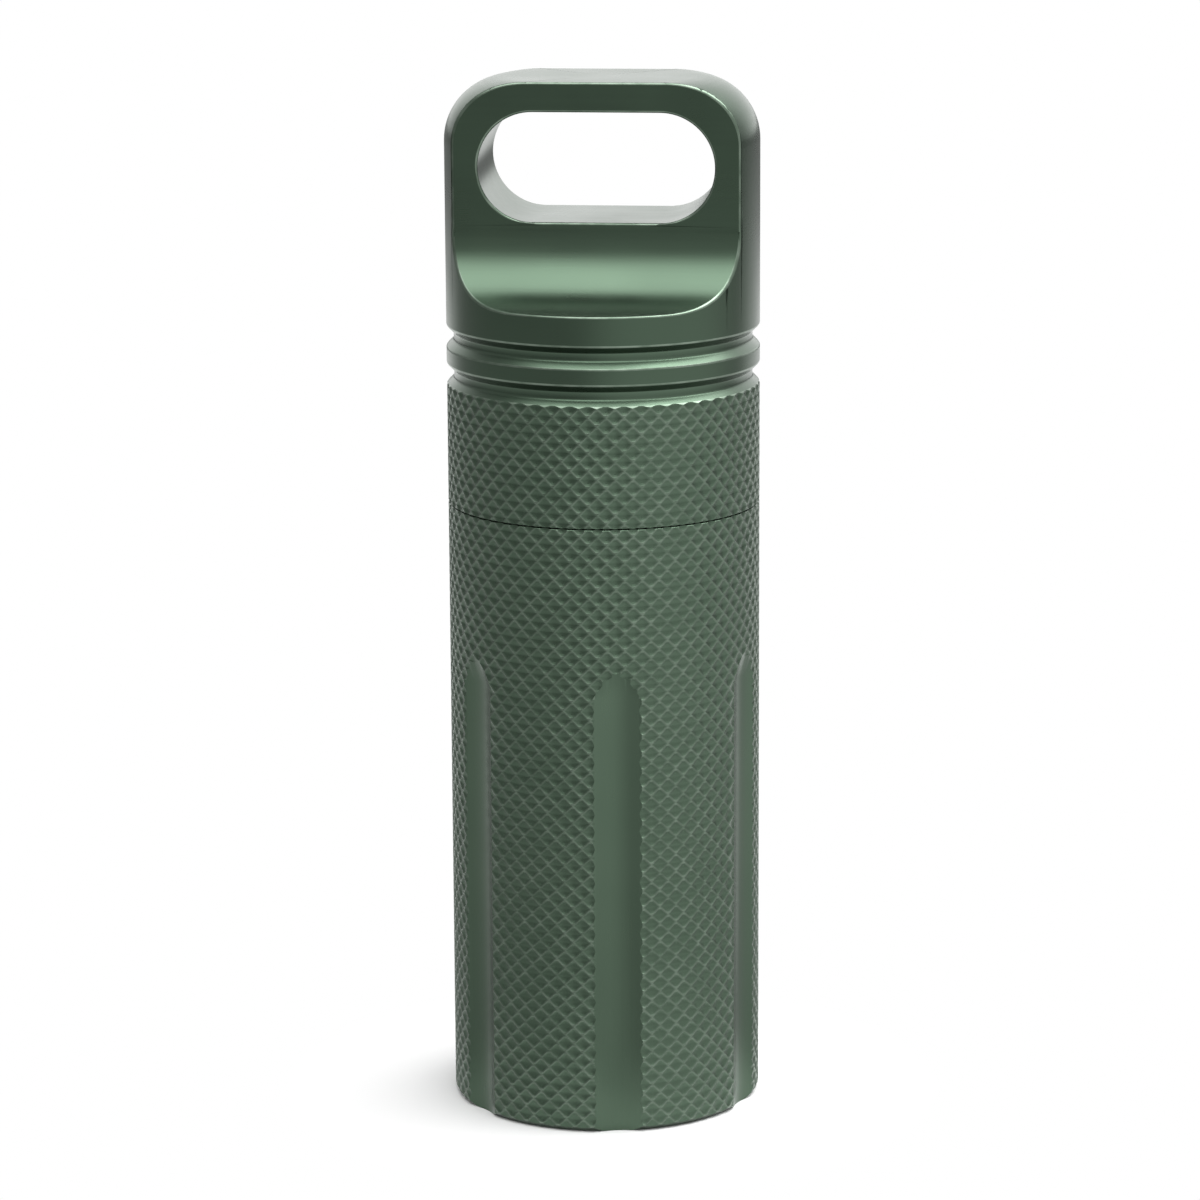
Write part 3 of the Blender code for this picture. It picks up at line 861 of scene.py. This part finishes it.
def dyed_colour(tree, place, wear_and_highlight):
    """Dye that takes a little unevenly, in clouds of a centimetre, and wears off in patches; on rounded
    edges the pale tone is also a painted highlight.
    """
    clouds = add_node(tree, NOISE, {"Vector": place, "Scale": 1 / DYE_CLOUD})
    shades = {0: clouds, 6: linear(DEEP_DYE), 7: linear(PALE_DYE)}
    dye = add_node(tree, "ShaderNodeMix", shades, data_type="RGBA").outputs[2]

    # Noise keeps near a half, so its middle is stretched, as in the sheen
    patches = add_node(tree, NOISE, {"Vector": place, "Scale": 1 / WEAR_AND_HIGHLIGHT_PATCH})
    patches = {0: patches, 1: PATCH_LOW, 2: PATCH_HIGH, 3: LEAST_WEAR_AND_HIGHLIGHT, 4: MOST_WEAR_AND_HIGHLIGHT}
    patches = add_node(tree, "ShaderNodeMapRange", patches)
    wear_and_highlight_share = add_node(tree, MATHS, {0: wear_and_highlight, 1: patches}, operation="MULTIPLY")
    # Pale tone: dye rubbing off at the knurl's crests, and on rounded edges also a painted highlight
    shades = {0: wear_and_highlight_share, 6: dye, 7: linear(WORN_AND_HIGHLIGHT_TONE)}
    return add_node(tree, "ShaderNodeMix", shades, data_type="RGBA").outputs[2]


def cutter_marks(tree, place, radius, sizes, turned_marks):
    """Marks of the cutter: fine rings round the axis where turned, or streaks along its way."""
    if turned_marks:
        level = add_node(tree, "ShaderNodeSeparateXYZ", {0: place}).outputs["Z"]
        along = add_node(tree, MATHS, {0: radius, 1: level}, operation="ADD")
        place = add_node(tree, "ShaderNodeCombineXYZ", {2: along})
    scale = [1 / size for size in sizes]
    streaks = add_node(tree, "ShaderNodeVectorMath", {0: place, 1: scale}, operation="MULTIPLY")
    return add_node(tree, NOISE, {"Vector": streaks, "Scale": 1.0})


def satin_sheen(tree, place, streaks, rough):
    """Roughness that drifts a little over the surface and with the cutter's marks."""
    drift = add_node(tree, NOISE, {"Vector": place, "Scale": 1 / SHEEN_CLOUD})
    drift = add_node(tree, "ShaderNodeMapRange", {
        0: drift,
        1: SHEEN_LOW,
        2: SHEEN_HIGH,
        3: rough - SHEEN_SPREAD,
        4: rough + SHEEN_SPREAD,
    })
    drift = add_node(tree, MATHS, {0: drift, 1: STREAK_SPREAD}, operation="SUBTRACT")
    return add_node(tree, MATHS, {0: streaks, 1: 2 * STREAK_SPREAD, 2: drift}, operation="MULTIPLY_ADD")


def anodised_aluminium(name, sizes, depth, rough, turned_marks=False, knurled=False):
    """Aluminium bar, machined and then anodised dark green.

    The dyed oxide is thin and clear, so the metal shines through it in a satin green, with a weak
    white glint from the oxide's own skin. The sizes are those of the cutter's marks along X, Y and Z.
    """
    material, tree = new_material(name)
    place = add_node(tree, "ShaderNodeTexCoord").outputs["Object"]
    across = add_node(tree, "ShaderNodeVectorMath", {0: place, 1: (1, 1, 0)}, operation="MULTIPLY")
    radius = add_node(tree, "ShaderNodeVectorMath", {0: across}, operation="LENGTH").outputs["Value"]
    wear_and_highlight = rubbed_crests(tree, radius) if knurled else edge_wear_and_highlight(tree)
    streaks = cutter_marks(tree, place, radius, sizes, turned_marks)
    grain = add_node(tree, NOISE, {"Vector": place, "Scale": 1 / GRAIN})
    marked = add_node(tree, "ShaderNodeBump", {"Height": streaks, "Distance": depth})
    marked = add_node(tree, "ShaderNodeBump", {"Height": grain, "Distance": GRAIN_DEPTH, "Normal": marked})
    shader = add_node(tree, "ShaderNodeBsdfPrincipled", {
        "Base Color": dyed_colour(tree, place, wear_and_highlight),
        "Metallic": 1.0,
        "Roughness": satin_sheen(tree, place, streaks, rough),
        "Normal": marked,
        "Coat Weight": OXIDE_GLINT,
        "Coat Roughness": OXIDE_ROUGHNESS,
    })
    add_node(tree, "ShaderNodeOutputMaterial", {0: shader})
    return material


def nitrile_rubber():
    """Nitrile rubber, moulded: nearly black and matte, with a faint pebble from the mould."""
    material, tree = new_material("nitrile_rubber")
    place = add_node(tree, "ShaderNodeTexCoord").outputs["Object"]
    bloom = add_node(tree, NOISE, {"Vector": place, "Scale": 1 / RUBBER_BLOOM})
    shades = {0: bloom, 6: linear(RUBBER_BLACK), 7: linear(RUBBER_GREY)}
    rough = {0: bloom, 3: RUBBER_LEAST_ROUGH, 4: RUBBER_MOST_ROUGH}
    pebble = add_node(tree, NOISE, {"Vector": place, "Scale": 1 / RUBBER_PEBBLE})
    shader = add_node(tree, "ShaderNodeBsdfPrincipled", {
        "Base Color": add_node(tree, "ShaderNodeMix", shades, data_type="RGBA").outputs[2],
        "Roughness": add_node(tree, "ShaderNodeMapRange", rough),
        "Normal": add_node(tree, "ShaderNodeBump", {"Height": pebble, "Distance": PEBBLE_DEPTH}),
    })
    add_node(tree, "ShaderNodeOutputMaterial", {0: shader})
    return material


# Camera, fitted to the photograph's outline: level distance from the axis, height and angles
CAMERA_DISTANCE = 370.9 * MM
CAMERA_HEIGHT = 124.9 * MM
CAMERA_TURN = math.radians(5.68)
CAMERA_DIP = math.radians(12.63)
CAMERA_ROLL = math.radians(-0.30)
FOCAL_PIXELS = 4612
FRAME_PIXELS = 1200
AXIS_OFFSET_PIXELS = 4.55
SENSOR_WIDTH = 36.0

# Lights, each as the way to it, the angles from it in degrees where it starts and where it is
# full, and the brightness at those two
WALL_BEHIND = ((0.05, 0.93, 0.37), 55, 25, 0.4, 1.25)
LAMP_AT_THE_RIGHT = ((0.8, -0.6, 0.1), 70, 20, 0.0, 0.5)
LAMP_OVERHEAD = ((0.0, -0.29, 0.957), 45, 8, 0.0, 3.4)
LAMP_OVER_THE_RIGHT = ((0.5, 0.18, 0.85), 32, 8, 0.0, 5.5)
TABLE_AT_THE_RIGHT = ((0.8, -0.6, 0.0), 70, 20, 0.0, 0.45)
TABLE_BEHIND = ((0.0, 1.0, 0.0), 62, 35, 0.0, 1.0)

# The table, whose shadow fades between near and far, as its mirrored light does
WHITE = "ffffff"
TABLE_SHADE = "d8d8d8"
FLOOR_RADIUS = 3000.0 * MM
FLOOR_STEPS = 96
SHADOW_NEAR = 12.0 * MM
SHADOW_FAR = 28.0 * MM
FOOT_NEAR = 15.0 * MM
FOOT_FAR = 90.0 * MM
TABLE_EDGE_NEAR = 400.0 * MM
TABLE_EDGE_FAR = 550.0 * MM
TABLE_FRONT = 700.0 * MM

# How bright the metal sees the table in front, near and far, what share of that is left at the
# foot as a painted shadow, and how bright it sees the table behind, near and past its edge
FRONT_BRIGHT = 0.85
FRONT_DIM = 0.08
FOOT_SHADOW_SHARE = 0.6
BACK_BRIGHT = 1.1
BACK_DIM = 0.2


def add_camera():
    """Camera at the photograph's place."""
    lens = bpy.data.cameras.new("camera")
    lens.sensor_width = SENSOR_WIDTH
    lens.lens = FOCAL_PIXELS / FRAME_PIXELS * SENSOR_WIDTH
    lens.shift_x = -AXIS_OFFSET_PIXELS / FRAME_PIXELS
    camera = bpy.data.objects.new("camera", lens)
    bpy.context.scene.collection.objects.link(camera)
    camera.location = (
        CAMERA_DISTANCE * math.sin(CAMERA_TURN),
        -CAMERA_DISTANCE * math.cos(CAMERA_TURN),
        CAMERA_HEIGHT,
    )
    aim = Euler((math.pi / 2 - CAMERA_DIP, 0.0, CAMERA_TURN)).to_matrix()
    roll = Matrix.Rotation(CAMERA_ROLL, 3, "Z")
    camera.rotation_euler = (aim @ roll).to_euler()
    bpy.context.scene.camera = camera


def add_lobe(tree, way, towards, far, near, low, high):
    """Brightness that rises smoothly from low to high as a direction nears another."""
    towards = Vector(towards).normalized()
    ways = {0: way, 1: towards}
    near_by = add_node(tree, "ShaderNodeVectorMath", ways, operation="DOT_PRODUCT").outputs["Value"]
    return add_node(tree, "ShaderNodeMapRange", {
        0: near_by,
        1: math.cos(math.radians(far)),
        2: math.cos(math.radians(near)),
        3: low,
        4: high,
    }, interpolation_type="SMOOTHSTEP")


def add_world():
    """Soft lamps overhead and at the right, a bright wall behind and a dim room in front."""
    world = bpy.data.worlds.new("studio")
    bpy.context.scene.world = world
    world.use_nodes = True
    tree = world.node_tree
    tree.nodes.clear()
    way = add_node(tree, "ShaderNodeTexCoord").outputs["Generated"]
    level = add_lobe(tree, way, *WALL_BEHIND)
    for lamp in (LAMP_AT_THE_RIGHT, LAMP_OVERHEAD, LAMP_OVER_THE_RIGHT):
        level = add_node(tree, MATHS, {0: level, 1: add_lobe(tree, way, *lamp)})
    path = add_node(tree, "ShaderNodeLightPath").outputs
    room = add_node(tree, "ShaderNodeBackground", {0: linear(WHITE), 1: level})
    white = add_node(tree, "ShaderNodeBackground", {0: linear(WHITE), 1: 1.0})
    mixed = add_node(tree, "ShaderNodeMixShader", {0: path["Is Camera Ray"], 1: room, 2: white})
    add_node(tree, "ShaderNodeOutputWorld", {0: mixed})


def table_glow(tree, place, far, seen):
    """Brightness of the table: plain white for the camera, and for the metal as it is lit.

    The metal mirrors a glow painted as a table lit over the capsule, dim in front from half a
    metre on, with a painted shadow near the capsule's foot.
    """
    way = add_node(tree, "ShaderNodeVectorMath", {0: place}, operation="NORMALIZE")
    front = {0: far, 1: 0.0, 2: TABLE_FRONT, 3: FRONT_BRIGHT, 4: FRONT_DIM}
    front = add_node(tree, "ShaderNodeMapRange", front)
    front = add_node(tree, MATHS, {0: front, 1: add_lobe(tree, way, *TABLE_AT_THE_RIGHT)})
    # Painted shadow: the mirrored table is dimmer near the capsule's foot
    foot = {0: far, 1: FOOT_NEAR, 2: FOOT_FAR, 3: FOOT_SHADOW_SHARE, 4: 1.0}
    foot = add_node(tree, "ShaderNodeMapRange", foot, interpolation_type="SMOOTHSTEP")
    front = add_node(tree, MATHS, {0: front, 1: foot}, operation="MULTIPLY")
    back = {0: far, 1: TABLE_EDGE_NEAR, 2: TABLE_EDGE_FAR, 3: BACK_BRIGHT, 4: BACK_DIM}
    back = add_node(tree, "ShaderNodeMapRange", back, interpolation_type="SMOOTHSTEP")
    behind = add_lobe(tree, way, *TABLE_BEHIND)
    mirrored = add_node(tree, "ShaderNodeMix", {0: behind, 2: front, 3: back})
    return add_node(tree, "ShaderNodeMix", {0: seen, 2: mirrored, 3: 1.0})


def white_table():
    """White table that keeps the capsule's shadow near it and is plain white further off."""
    material, tree = new_material("white_table")

    # Its glow is only seen and mirrored, and lights nothing as a lamp does
    material.cycles.emission_sampling = "NONE"
    path = add_node(tree, "ShaderNodeLightPath").outputs
    seen = path["Is Camera Ray"]
    place = add_node(tree, "ShaderNodeTexCoord").outputs["Object"]
    far = add_node(tree, "ShaderNodeVectorMath", {0: place}, operation="LENGTH").outputs["Value"]
    fade = {0: far, 1: SHADOW_NEAR, 2: SHADOW_FAR, 3: 0.0, 4: 1.0}
    fade = add_node(tree, "ShaderNodeMapRange", fade, interpolation_type="SMOOTHSTEP")
    shown = add_node(tree, MATHS, {0: seen, 1: path["Is Glossy Ray"]}, operation="MAXIMUM")
    shown = add_node(tree, MATHS, {0: shown, 1: fade}, operation="MULTIPLY")
    shaded = add_node(tree, "ShaderNodeBsdfDiffuse", {0: linear(TABLE_SHADE)})
    glow = {0: linear(WHITE), 1: table_glow(tree, place, far, seen)}
    white = add_node(tree, "ShaderNodeEmission", glow)
    mixed = add_node(tree, "ShaderNodeMixShader", {0: shown, 1: shaded, 2: white})
    add_node(tree, "ShaderNodeOutputMaterial", {0: mixed})
    return material


def add_floor():
    """Floor that the capsule stands on."""
    bpy.ops.mesh.primitive_circle_add(vertices=FLOOR_STEPS, radius=FLOOR_RADIUS, fill_type="NGON",
                                      location=(0, 0, 0))
    floor = bpy.context.active_object
    floor.name = "floor"
    floor.data.materials.append(white_table())


def main():
    trees = {"knurl": knurl_tree(), "thread": thread_tree(), "round": round_tree(), "ring": ring_tree()}
    finishes = {
        "turned": anodised_aluminium("anodised_aluminium_turned", (TURNING_MARK,) * 3,
                                     CUT_DEPTH, CUT_ROUGHNESS, turned_marks=True),
        "knurled": anodised_aluminium(KNURLED_FINISH, (PRESS_MARK,) * 3,
                                      PRESS_DEPTH, PRESS_ROUGHNESS, knurled=True),
        "milled": anodised_aluminium("anodised_aluminium_milled", (CUT_LENGTH, CUT_WIDTH, CUT_WIDTH),
                                     CUT_DEPTH, CUT_ROUGHNESS),
        "fluted": anodised_aluminium("anodised_aluminium_fluted", (CUT_WIDTH, CUT_WIDTH, CUT_LENGTH),
                                     CUT_DEPTH, CUT_ROUGHNESS),
    }
    put_on(make_tube(trees, finishes), "tube", "capsule_body")
    put_on(make_cap(trees, finishes), "cap", "loop_cap")
    put_on(make_seal(trees, nitrile_rubber()), "seal", "o_ring")
    add_camera()
    add_world()
    add_floor()
    bpy.context.scene.view_settings.view_transform = "Standard"


main()
